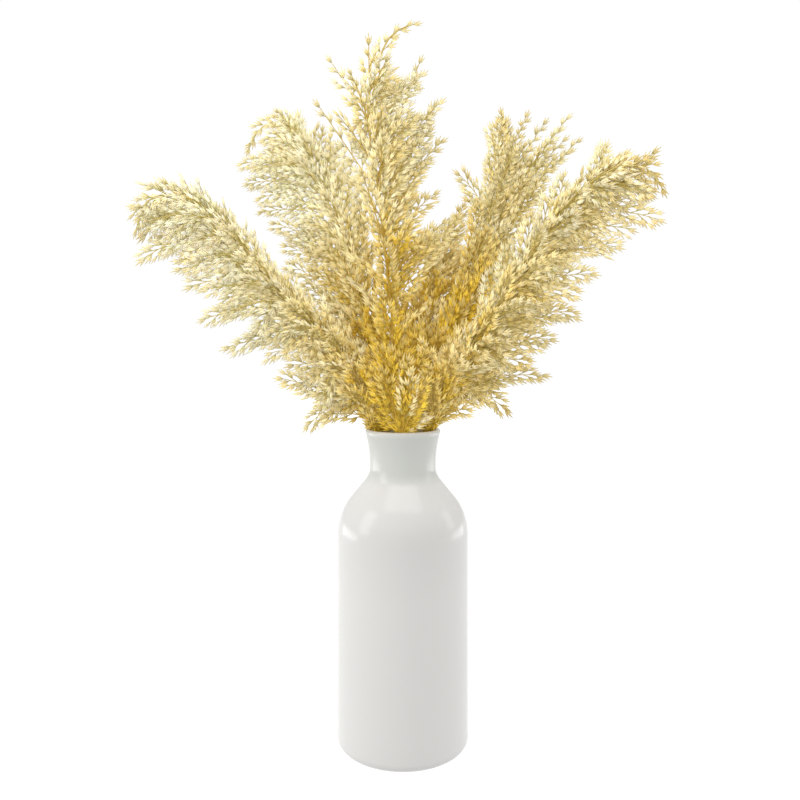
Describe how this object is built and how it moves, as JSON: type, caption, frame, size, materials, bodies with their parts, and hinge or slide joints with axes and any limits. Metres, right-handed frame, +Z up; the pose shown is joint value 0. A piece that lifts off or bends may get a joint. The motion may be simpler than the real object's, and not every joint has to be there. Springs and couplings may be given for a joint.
{
  "type": "vase of pampas grass",
  "caption": "Bottle-shaped glazed vase holding feathery sprays of straw-coloured pampas grass that arch outward from its flared mouth.",
  "frame": {"origin": "centre of the vase's flat underside, on the surface it stands on", "axes": "+Z up along the vase's axis, -Y towards the viewer, +X to the viewer's right"},
  "size_m": [0.4066, 0.2067, 0.5847],
  "materials": {
    "white_glaze": "gloss",
    "pale_straw": "matte",
    "golden_straw": "matte"
  },
  "bodies": {
    "root": {"vase": "white_glaze", "spray_left_low": "pale_straw", "spray_left_high": "pale_straw", "spray_centre": "golden_straw", "spray_right_high": "pale_straw", "spray_right_low": "pale_straw", "spray_back": "golden_straw"}
  },
  "joints": []
}
